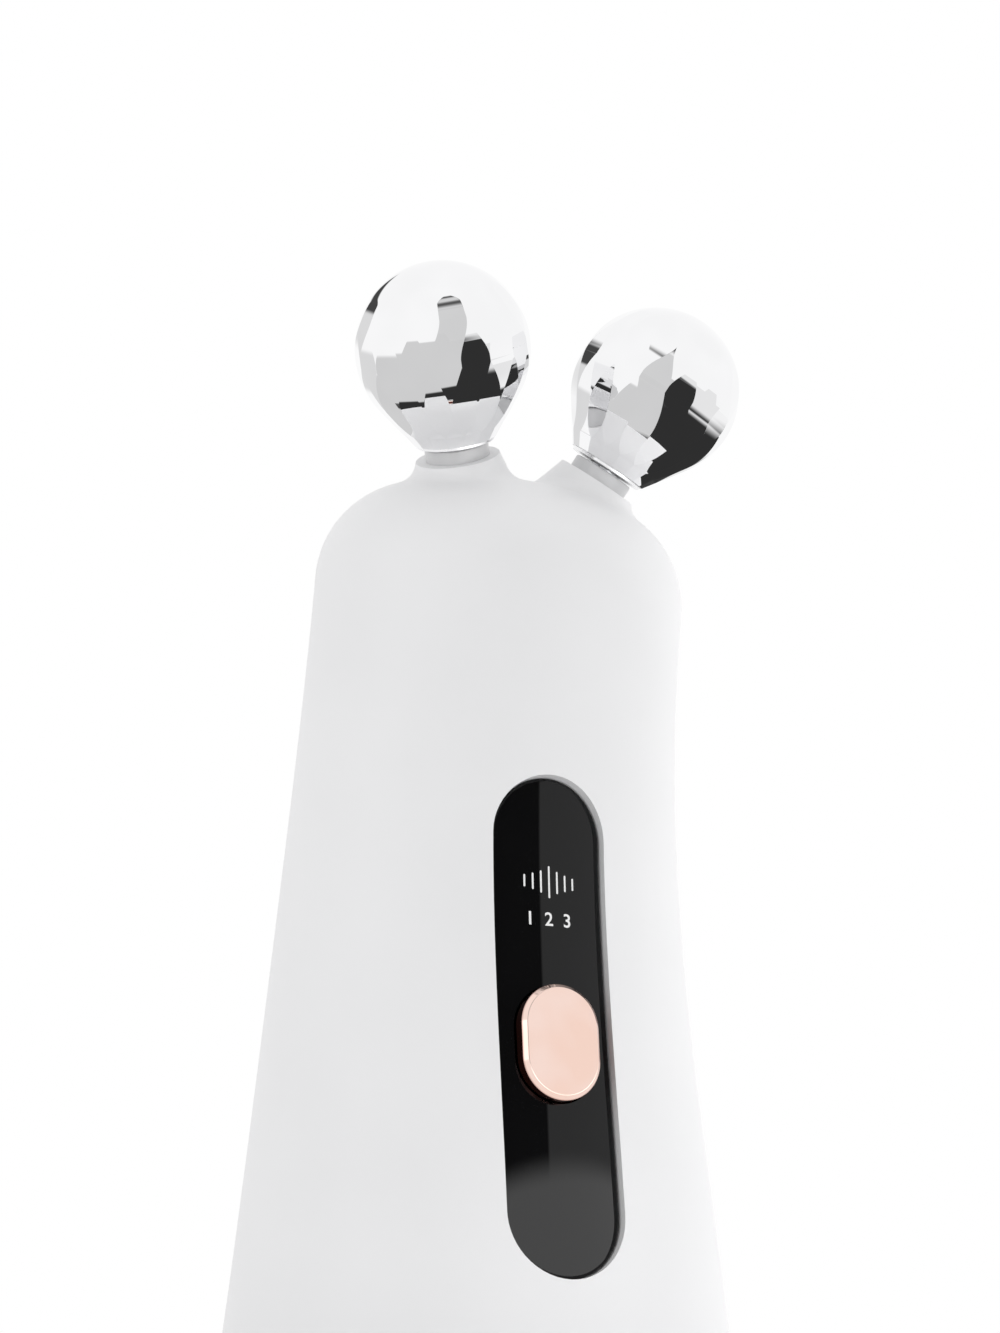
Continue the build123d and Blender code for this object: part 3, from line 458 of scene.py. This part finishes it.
def profileRows(corners, steps=5):
    # corners: reach, height, size of the rounding; each corner becomes an arc that touches both its
    # neighbours, and the normal is the direction of travel turned a quarter to the left
    corners = [np.array(c, float) for c in corners]
    rows = []
    for n, corner in enumerate(corners):
        before = corners[n - 1][:2] if n else None
        after = corners[n + 1][:2] if n + 1 < len(corners) else None
        point, size = corner[:2], corner[2]
        come = None if before is None else (point - before) / np.linalg.norm(point - before)
        leave = None if after is None else (after - point) / np.linalg.norm(after - point)
        if come is None or leave is None:
            way = leave if come is None else come
            rows.append((*point, -way[1], way[0]))
        elif size <= 0:
            rows.append((*point, -come[1], come[0]))
            rows.append((*point, -leave[1], leave[0]))
        else:
            turn = math.acos(max(-1, min(1, float(come @ leave))))
            cut = size * math.tan(turn / 2)
            start = point - come * cut
            sense = 1 if come[0] * leave[1] - come[1] * leave[0] > 0 else -1
            normal = np.array([-come[1], come[0]])
            centre = start + normal * size * sense
            for share in np.linspace(0, 1, steps):
                t = turn * share * sense
                spun = normal @ np.array([[math.cos(t), math.sin(t)], [-math.sin(t), math.cos(t)]])
                rows.append((*(centre - spun * size * sense), *spun))
    return np.array(rows)


def carryRound(rows, straight, offset, run):
    # point = reach in the outline's direction, plus the straight share up, plus the row's own offset
    angle, share = run
    reach, height, out, lift = (rows[:, n, None] for n in range(4))
    straight = np.broadcast_to(straight, len(rows))[:, None]
    offset = np.broadcast_to(offset, len(rows))[:, None]
    x = reach * np.cos(angle)
    up = reach * np.sin(angle) + straight * share + offset
    points = np.dstack([x, up, np.broadcast_to(height, x.shape)])
    normals = np.dstack([out * np.cos(angle), out * np.sin(angle), np.broadcast_to(lift, x.shape)])
    return points, normals


# rings on the axle, in mm: half widths, lengths along it and roundings
ballBase = {"reach": 5.07, "bore": 2.3, "thickness": 0.45, "edge": 0.12}
neckCollar = {
    "reach": 4.1,
    "bore": 2.02,
    "gap": 0.3,  # left free under the ball's base
    "length": 5.4,
    "flangeReach": 6.2,
    "flangeThickness": 1.2,
    "edge": 0.18,
    "flangeEdge": 0.1,
    "boreEdge": 0.05,
}
ringSteps = 96


def closedRing(corners):
    # profile of a ring that ends where it began
    rows = profileRows(corners + corners[:1])
    return np.concatenate([rows, rows[:1]])


def baseProfile(base, top):
    # flat ring that closes the ball's mouth; its lower edge is rounded more than its upper one
    reach, bore, edge = base["reach"], base["bore"], base["edge"]
    bottom = top - base["thickness"]
    middle = ((bore + reach) / 2, top, 0)
    outer = [(reach, top, edge / 2), (reach, bottom, edge)]
    return closedRing([middle, *outer, (bore, bottom, edge / 2), (bore, top, 0)])


def collarProfile(collar, top):
    # sleeve that stands on a wider flange, which lies inside the housing
    reach, bore, flangeReach = collar["reach"], collar["bore"], collar["flangeReach"]
    flangeEdge, boreEdge = collar["flangeEdge"], collar["boreEdge"]
    flangeTop = top - collar["length"]
    bottom = flangeTop - collar["flangeThickness"]
    middle = ((bore + reach) / 2, top, 0)
    sleeve = [(reach, top, collar["edge"]), (reach, flangeTop, flangeEdge)]
    flange = [(flangeReach, flangeTop, flangeEdge), (flangeReach, bottom, flangeEdge)]
    return closedRing([middle, *sleeve, *flange, (bore, bottom, boreEdge), (bore, top, boreEdge)])


baseTop = -rollerBall["tailDrop"]
baseRows = baseProfile(ballBase, baseTop)
collarRows = collarProfile(neckCollar, baseTop - ballBase["thickness"] - neckCollar["gap"])
circle = (np.linspace(0, 2 * math.pi, ringSteps, endpoint=False), np.zeros(ringSteps))
for name, side in sides.items():
    axes, centre = neckFrame(side, neck)
    points, normals = carryRound(baseRows, 0, 0, circle)
    gridMesh(
        name + "BallBase",
        points @ axes + centre,
        normals @ axes,
        "satinNickelBase",
        name + "_roller",
        name + "_ball_base",
    )
    points, normals = carryRound(collarRows, 0, 0, circle)
    gridMesh(
        name + "NeckSleeve",
        points @ axes + centre,
        normals @ axes,
        "satinAbsGrey",
        "housing",
        name + "_neck_collar",
    )
print("ball bases and neck sleeves made")

# ---- control panel: all of it is drawn on a plane that follows the leaning front
# mm forward of the origin and above it, and degrees of lean
panel = {"reach": 22.6, "height": 40.3, "tilt": 5.1}
tilt = math.radians(panel["tilt"])
rise, lean = math.cos(tilt), math.sin(tilt)
panelAxes = np.array([[1, 0, 0], [0, lean, rise], [0, -rise, lean]])
panelCentre = np.array([0, -panel["reach"], panel["height"]])

# key: a pill with a flat face, a bevel and a flange and stem behind it
modeKey = {
    # mm: half its width, half its straight side, where its middle lies on the panel, and then heights
    # over the panel's plane and roundings
    "reach": 4.9,
    "straight": 1.85,
    "drop": -2.9,
    "face": 0.9,
    "bevel": 0.5,
    "edge": 0.14,
    "flangeFront": -3.6,
    "flangeBack": -4.6,
    "flangeReach": 6.1,
    "flangeEdge": 0.15,
    "flangeFoot": 0.1,
    "stemReach": 1.3,
    "stemBack": -5.0,
    "outlineSteps": (40, 10),
}


def keySurface(key):
    # the stem is round, so its rows have no straight side
    reach, face, flangeReach = key["reach"], key["face"], key["flangeReach"]
    front, back, stem = key["flangeFront"], key["flangeBack"], key["stemReach"]
    rows = profileRows(
        [
            (0, face, 0),
            (reach - key["bevel"], face, key["edge"]),
            (reach, face - key["bevel"], key["edge"]),
            (reach, front, key["flangeFoot"]),
            (flangeReach, front, key["flangeEdge"]),
            (flangeReach, back, key["flangeEdge"]),
            (stem, back, 0),
            (stem, key["stemBack"], 0),
            (0, key["stemBack"], 0),
        ]
    )
    onStem = (rows[:, 1] < back + near) & (rows[:, 0] <= stem + near)
    straight = np.where(onStem, 0, key["straight"])
    return carryRound(rows, straight, key["drop"], outlineRun(*key["outlineSteps"]))


keyPoints, keyNormals = keySurface(modeKey)
gridMesh(
    "modeKey",
    keyPoints @ panelAxes + panelCentre,
    keyNormals @ panelAxes,
    "roseGoldPlateWithPaintedWallShade",
    "key",
    "mode_button",
)
# Painted shade: below the face, the key's bevel and wall turn a dark red-brown colour that stands in for
# the dark reflection they show. It changes between two heights in mm over the panel's plane.
keyWallPaintedShade = {"wall": "#8E3F2C", "shadeBegins": 0.55, "shadeFull": 0.25}


def paintKeyWallShade(tree, wallShade):
    # height = how far a place lies outwards, along the panel's own direction
    shader = tree.nodes["Principled BSDF"]
    place = addNode(tree, "ShaderNodeTexCoord").outputs["Object"]
    along = {"operation": "DOT_PRODUCT", 1: panelAxes[2]}
    height = addNode(tree, "ShaderNodeVectorMath", along, {0: place}).outputs["Value"]
    plane = float(panelAxes[2] @ panelCentre)
    shadeBegins, shadeFull = (plane + wallShade["shadeBegins"]) * millimetre, (plane + wallShade["shadeFull"]) * millimetre
    share = addNode(tree, "ShaderNodeMapRange", {"From Min": shadeBegins, "From Max": shadeFull}, {"Value": height})
    shades = {0: share.outputs[0], 6: shader.inputs["Base Color"].links[0].from_socket}
    wall = {"data_type": "RGBA", 7: hexToLinear(wallShade["wall"])}
    # the mix paints the shade: the face's own drifting colour above the upper height, the dark wall
    # colour below the lower one
    mixed = addNode(tree, "ShaderNodeMix", wall, shades)
    tree.links.new(mixed.outputs[2], shader.inputs["Base Color"])


paintKeyWallShade(materials["roseGoldPlateWithPaintedWallShade"].node_tree, keyWallPaintedShade)
print("key made")

# window: follows the body's front face, which is fitted to the loaded window by least squares
window = {
    # mm, and the counts of rows and steps in its mesh
    "reach": 7.22,
    "straight": 21.95,
    "holeClearance": 0.15,
    "edge": 0.45,
    "backEdge": 0.1,
    "thickness": 0.6,
    "faceRows": 12,
    "edgeSteps": 8,
    "outlineSteps": (56, 60),
}
frontLimit = 0.9  # faces whose normal points this much along the panel's direction are its front


def faceTerms(x, up):
    # even in x, because the front is the same left and right
    return np.stack([x**0, up, up**2, up**3, up**4, x**2, x**2 * up, x**2 * up**2, x**4, x**4 * up], -1)


def fitFace():
    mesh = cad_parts["control_panel"].data
    spots = np.empty(len(mesh.vertices) * 3)
    mesh.vertices.foreach_get("co", spots)
    facing = np.empty(len(mesh.polygons) * 3)
    mesh.polygons.foreach_get("normal", facing)
    corners = np.empty(len(mesh.loops), int)
    mesh.loops.foreach_get("vertex_index", corners)
    front = facing.reshape(-1, 3) @ panelAxes[2] > frontLimit
    used = np.unique(corners.reshape(-1, 3)[front])
    local = (spots.reshape(-1, 3)[used] / millimetre - panelCentre) @ panelAxes.T
    terms = faceTerms(local[:, 0], local[:, 1])
    weights = np.linalg.lstsq(terms, local[:, 2], rcond=None)[0]
    miss = np.abs(terms @ weights - local[:, 2]).max()
    print("window fit, largest miss in mm:", round(float(miss), 4))
    return weights


faceWeights = fitFace()


def onFace(points, normals):
    # a point at (x, up, depth) goes to the face under it and then depth along the face's own normal,
    # whose slopes are the rise over one small step in mm
    x, up, depth = points[..., 0], points[..., 1], points[..., 2]
    step = 0.01
    height = faceTerms(x, up) @ faceWeights
    slopeX = (faceTerms(x + step, up) @ faceWeights - height) / step
    slopeUp = (faceTerms(x, up + step) @ faceWeights - height) / step
    out = np.stack([-slopeX, -slopeUp, np.ones_like(x)], -1)
    out /= np.linalg.norm(out, axis=-1, keepdims=True)
    across = np.stack([np.ones_like(x), np.zeros_like(x), slopeX], -1)
    across /= np.linalg.norm(across, axis=-1, keepdims=True)
    along = np.cross(out, across)
    placed = np.stack([x, up, height], -1) + depth[..., None] * out
    turned = sum(normals[..., n, None] * way for n, way in enumerate((across, along, out)))
    return placed @ panelAxes + panelCentre, turned @ panelAxes


def windowSurface(pane, key):
    # Rows run from the key's hole across the face, over the rounded edge, back behind and up the hole's
    # wall. The outline goes evenly from the hole's at share 0 to the window's own at share 1.
    hole = key["reach"] + pane["holeClearance"]
    reachTo = pane["reach"] - 2 * pane["edge"]
    thickness = pane["thickness"]
    edgeCorners = [
        (reachTo, 0, 0),
        (pane["reach"], 0, pane["edge"]),
        (pane["reach"], -thickness, pane["backEdge"]),
        (reachTo, -thickness, 0),
    ]
    edgeRows = profileRows(edgeCorners, pane["edgeSteps"])
    share = np.linspace(0, 1, pane["faceRows"])[:-1]
    across = hole + (reachTo - hole) * share
    frontRows = np.stack([across, 0 * share, 0 * share, 0 * share + 1], -1)
    backRows = frontRows[::-1] * (1, 0, 0, -1) - (0, thickness, 0, 0)
    holeRows = np.array([[hole, -thickness, -1, 0], [hole, 0, -1, 0], [hole, 0, 0, 1]])
    rows = np.concatenate([frontRows, edgeRows, backRows, holeRows])
    share = np.concatenate([share, np.ones(len(edgeRows)), share[::-1], np.zeros(len(holeRows))])
    straight = key["straight"] + (pane["straight"] - key["straight"]) * share
    drop = key["drop"] * (1 - share)
    return onFace(*carryRound(rows, straight, drop, outlineRun(*pane["outlineSteps"])))


windowPoints, windowNormals = windowSurface(window, modeKey)
gridMesh(
    "windowPane",
    windowPoints,
    windowNormals,
    "pianoBlackAcrylic",
    "housing",
    "control_panel",
)
print("window made")

# print on the window: seven level bars and plain numerals, a thin film of ink
windowPrint = {
    # mm on the panel, apart from the spread, which thickens the figures, and the counts of steps
    "barHeights": (1.5, 2.0, 2.7, 3.9, 2.7, 2.0, 1.5),
    "barPitch": 1.05,
    "barWidth": 0.22,
    "barUp": 16.5,
    "numerals": "1  2  3",
    "numeralHeight": 1.65,
    "numeralSpread": 0.012,
    "numeralUp": 12.0,
    "numeralSteps": 6,
    "film": 0.02,
    "outlineSteps": (8, 4),
}


def inkedNumerals(p):
    # plain figures, made a flat mesh and then laid on the face
    text = bpy.data.curves.new("numerals", "FONT")
    text.body = p["numerals"]
    text.align_x = "CENTER"
    text.offset = p["numeralSpread"]
    text.resolution_u = p["numeralSteps"]
    holder = bpy.data.objects.new("numerals", text)
    bpy.context.collection.objects.link(holder)
    bpy.context.view_layer.update()
    flat = bpy.data.meshes.new_from_object(holder)
    bpy.data.objects.remove(holder)
    raw = np.empty(len(flat.vertices) * 3)
    flat.vertices.foreach_get("co", raw)
    spots = raw.reshape(-1, 3)[:, :2]
    scale = p["numeralHeight"] / np.ptp(spots[:, 1])
    spots = (spots - (spots.max(0) + spots.min(0)) / 2) * scale + (0, p["numeralUp"])
    spots = np.column_stack([spots, np.full(len(spots), p["film"])])
    return onFace(spots, np.zeros_like(spots))[0], [list(face.vertices) for face in flat.polygons]


def inkedBars(p):
    # each bar is a pill: its outline carried round and joined to the next row by four-sided faces
    half, film = p["barWidth"] / 2, p["film"]
    rows = profileRows([(0, film, 0), (half, film, 0), (half, -film, 0), (0, -film, 0)])
    run = outlineRun(*p["outlineSteps"])
    bars = []
    for n, height in enumerate(p["barHeights"]):
        points, normals = carryRound(rows, height / 2 - half, p["barUp"], run)
        points[..., 0] += (n - (len(p["barHeights"]) - 1) / 2) * p["barPitch"]
        bars.append(onFace(points, normals)[0].reshape(-1, 3))
    levels, around = len(rows), len(run[0])
    i, j = np.meshgrid(np.arange(levels - 1) * around, np.arange(around), indexing="ij")
    k = (j + 1) % around
    faces = np.stack([i + j, i + around + j, i + around + k, i + k], -1).reshape(-1, 4)
    starts = np.arange(len(bars))[:, None, None] * levels * around
    return np.concatenate(bars), (faces + starts).reshape(-1, 4).tolist()


barSpots, barFaces = inkedBars(windowPrint)
figureSpots, figureFaces = inkedNumerals(windowPrint)
spots = (np.concatenate([barSpots, figureSpots]) * millimetre).tolist()
faces = barFaces + [[len(barSpots) + v for v in face] for face in figureFaces]
mesh = bpy.data.meshes.new("windowPrint")
mesh.from_pydata(spots, [], faces)
mesh.materials.append(materials["inkWhite"])
placePiece("windowPrint", mesh, "housing", None)
print("print laid on the window")

# ---- studio
floorPaper = {
    "reach": 3.0,  # metres from the middle to each side
    "colour": "#F6F6F6",
    "grain": 1.5,
    "rough": (0.6, 0.7),
    "runOut": (0.12, 0.6),  # metres from the middle between which it fades into the white background
}


def layFloor(paper):
    # mirrors see it as even white paper, and far from the object the camera does too
    r = paper["reach"]
    mesh = bpy.data.meshes.new("floor")
    mesh.from_pydata([(-r, -r, 0), (r, -r, 0), (r, r, 0), (-r, r, 0)], [], [(0, 1, 2, 3)])
    floor = bpy.data.objects.new("floor", mesh)
    bpy.context.collection.objects.link(floor)
    settings = {"IOR": 1.45, "Base Color": hexToLinear(paper["colour"])}
    material, tree, shader, place = newMaterial("paleFloorPaper", settings)
    addGrain(tree, shader, place, paper["grain"], 0, paper["rough"])
    white = addNode(tree, "ShaderNodeEmission", {"Strength": 1.0, "Color": (1, 1, 1, 1)}).outputs[0]
    away = addNode(tree, "ShaderNodeVectorMath", {"operation": "LENGTH"}, {0: place}).outputs["Value"]
    start, end = paper["runOut"]
    fade = {"interpolation_type": "SMOOTHSTEP", "From Min": start, "From Max": end}
    faded = addNode(tree, "ShaderNodeMapRange", fade, {"Value": away}).outputs[0]
    path = addNode(tree, "ShaderNodeLightPath").outputs
    forCamera = {0: faded, 1: path["Is Camera Ray"]}
    far = addNode(tree, "ShaderNodeMath", {"operation": "MULTIPLY"}, forCamera).outputs[0]
    forMirrors = {0: far, 1: path["Is Glossy Ray"]}
    share = addNode(tree, "ShaderNodeMath", {"operation": "MAXIMUM"}, forMirrors).outputs[0]
    looks = {0: share, 1: shader.outputs[0], 2: white}
    seen = addNode(tree, "ShaderNodeMixShader", links=looks).outputs[0]
    tree.links.new(seen, tree.nodes["Material Output"].inputs["Surface"])
    mesh.materials.append(material)


layFloor(floorPaper)

studio = {
    "ambient": 0.80,
    "aim": (0, 0, 0.07),
    "lamps": {
        # place and size in metres and power in watts of each soft lamp
        "rightLamp": ((0.9, 0.05, 0.35), 0.8, 2.75),
        "leftLamp": ((-0.9, -0.35, 0.25), 0.8, 0.8),
        "topLamp": ((0.15, -0.1, 1.2), 0.7, 1.2),
    },
}
for name, (spot, size, power) in studio["lamps"].items():
    data = bpy.data.lights.new(name, "AREA")
    data.size = size
    data.energy = power
    lamp = bpy.data.objects.new(name, data)
    lamp.location = spot
    lamp.rotation_euler = (Vector(studio["aim"]) - Vector(spot)).to_track_quat("-Z", "Y").to_euler()
    lamp.visible_glossy = False
    bpy.context.collection.objects.link(lamp)

# the background is plain white to the eye and to mirrors, and lights the object a little less
world = bpy.data.worlds.new("studio")
bpy.context.scene.world = world
tree = emptyTree(world)
ambient = addNode(tree, "ShaderNodeBackground", {"Strength": studio["ambient"], "Color": (1, 1, 1, 1)})
plain = addNode(tree, "ShaderNodeBackground", {"Strength": 1.0, "Color": (1, 1, 1, 1)})
path = addNode(tree, "ShaderNodeLightPath").outputs
seen = path["Is Camera Ray"]
for ray in ("Is Glossy Ray", "Is Transmission Ray"):
    seen = addNode(tree, "ShaderNodeMath", {"operation": "MAXIMUM"}, {0: seen, 1: path[ray]}).outputs[0]
mix = addNode(tree, "ShaderNodeMixShader", links={0: seen, 1: ambient.outputs[0], 2: plain.outputs[0]})
addNode(tree, "ShaderNodeOutputWorld", links={"Surface": mix.outputs[0]})

# Cards are plain panels that only reflections show. Each has the height of its level plane or the depth
# of its upright one, its four corners on that plane, its tone, and how wide its edges fade along its
# first and its second side. These two groups show in mirrors without any haze, which are the balls.
groundCards = {
    "paleGround": (0.8, ((20, -1300), (850, -1300), (850, 100), (20, 100)), 0.85, (20, 250)),
    "greyGround": (1.2, ((-460, -1100), (90, -1100), (90, 600), (-460, 600)), 0.66, (90, 100)),
    "darkGroundNear": (1.6, ((-115, 170), (30, -195), (125, -290), (310, 70)), 0.03, (14, 14)),
    "darkGroundBack": (2.0, ((90, -30), (1100, 70), (900, 800), (-40, 500)), 0.03, (30, 30)),
    "darkStripNear": (2.4, ((-5, -90), (80, -90), (150, -460), (65, -460)), 0.03, (14, 20)),
    "darkStripFar": (2.8, ((0, -120), (75, -120), (255, -1000), (170, -1000)), 0.03, (20, 450)),
}
wallCards = {
    "frontPanel": (-620, ((-560, 0), (-30, 0), (-30, 440), (-300, 460)), 0.68, (30, 30)),
    "frontRail": (-610, ((-260, 390), (100, 390), (100, 640), (-260, 640)), 0.06, (40, 125)),
    "backPanel": (580, ((-520, 0), (-20, 0), (-20, 620), (-520, 620)), 0.74, (50, 30)),
    "backRail": (570, ((-650, 580), (10, 580), (10, 850), (-650, 850)), 0.06, (60, 60)),
    "rightWall": (600, ((230, 0), (900, 0), (900, 60), (230, 480)), 0.035, (60, 60)),
}
# these show in glossy surfaces with some haze, and are placed for the window and the key
panelCards = {
    "panelShade": (-330, ((-60, 84), (110, 84), (158, 300), (-60, 300)), 0.12, (9, 30)),
    "panelGlow": (-110, ((-40, 5), (160, 5), (160, 67), (-40, 48)), 2.6, (20, 11)),
    "leftGlow": (-300, ((-900, 60), (-400, 60), (-400, 340), (-900, 340)), 1.5, (60, 60)),
}


def addCard(name, corners, tone, softs, hazeless):
    # cover = fade along the first side x fade along the second x whether the ray is of its kind
    corners = np.array(corners) * millimetre
    mesh = bpy.data.meshes.new(name)
    mesh.from_pydata(corners.tolist(), [], [(0, 1, 2, 3)])
    uv = mesh.uv_layers.new(name="card")
    uv.data.foreach_set("uv", [0, 0, 1, 0, 1, 1, 0, 1])
    material = bpy.data.materials.new(name)
    tree = emptyTree(material)
    spread = addNode(tree, "ShaderNodeUVMap", {"uv_map": "card"}).outputs[0]
    split = addNode(tree, "ShaderNodeSeparateXYZ", links={0: spread})
    # each edge fades over its soft width, as a share of the side's own length
    lengths = np.linalg.norm([corners[1] - corners[0], corners[2] - corners[1]], axis=1)
    shares = []
    for axis, (length, soft) in enumerate(zip(lengths, softs)):
        folded = {"operation": "PINGPONG", 1: 0.5}
        inset = addNode(tree, "ShaderNodeMath", folded, {0: split.outputs[axis]}).outputs[0]
        width = min(0.5, soft * millimetre / float(length))
        fade = {"interpolation_type": "SMOOTHSTEP", "From Max": width}
        shares.append(addNode(tree, "ShaderNodeMapRange", fade, {"Value": inset}).outputs[0])
    # a ray off a mirror without haze is singular, and each card shows for one kind of ray only
    sharp = addNode(tree, "ShaderNodeLightPath").outputs["Is Singular Ray"]
    wanted = {"operation": "COMPARE", 1: float(hazeless), 2: 0.5}
    shares.append(addNode(tree, "ShaderNodeMath", wanted, {0: sharp}).outputs[0])
    cover = shares[0]
    for share in shares[1:]:
        factors = {0: cover, 1: share}
        cover = addNode(tree, "ShaderNodeMath", {"operation": "MULTIPLY"}, factors).outputs[0]
    glow = addNode(tree, "ShaderNodeEmission", {"Strength": tone, "Color": (1, 1, 1, 1)}).outputs[0]
    clear = addNode(tree, "ShaderNodeBsdfTransparent").outputs[0]
    blend = addNode(tree, "ShaderNodeMixShader", links={0: cover, 1: clear, 2: glow}).outputs[0]
    addNode(tree, "ShaderNodeOutputMaterial", links={"Surface": blend})
    mesh.materials.append(material)
    piece = bpy.data.objects.new(name, mesh)
    bpy.context.collection.objects.link(piece)
    for ray in ("camera", "diffuse", "transmission", "volume_scatter", "shadow"):
        setattr(piece, "visible_" + ray, False)


for name, (height, spots, tone, softs) in groundCards.items():
    addCard(name, [(x, y, height) for x, y in spots], tone, softs, True)
for cards, hazeless in ((wallCards, True), (panelCards, False)):
    for name, (depth, spots, tone, softs) in cards.items():
        addCard(name, [(x, depth, z) for x, z in spots], tone, softs, hazeless)
print("studio set")
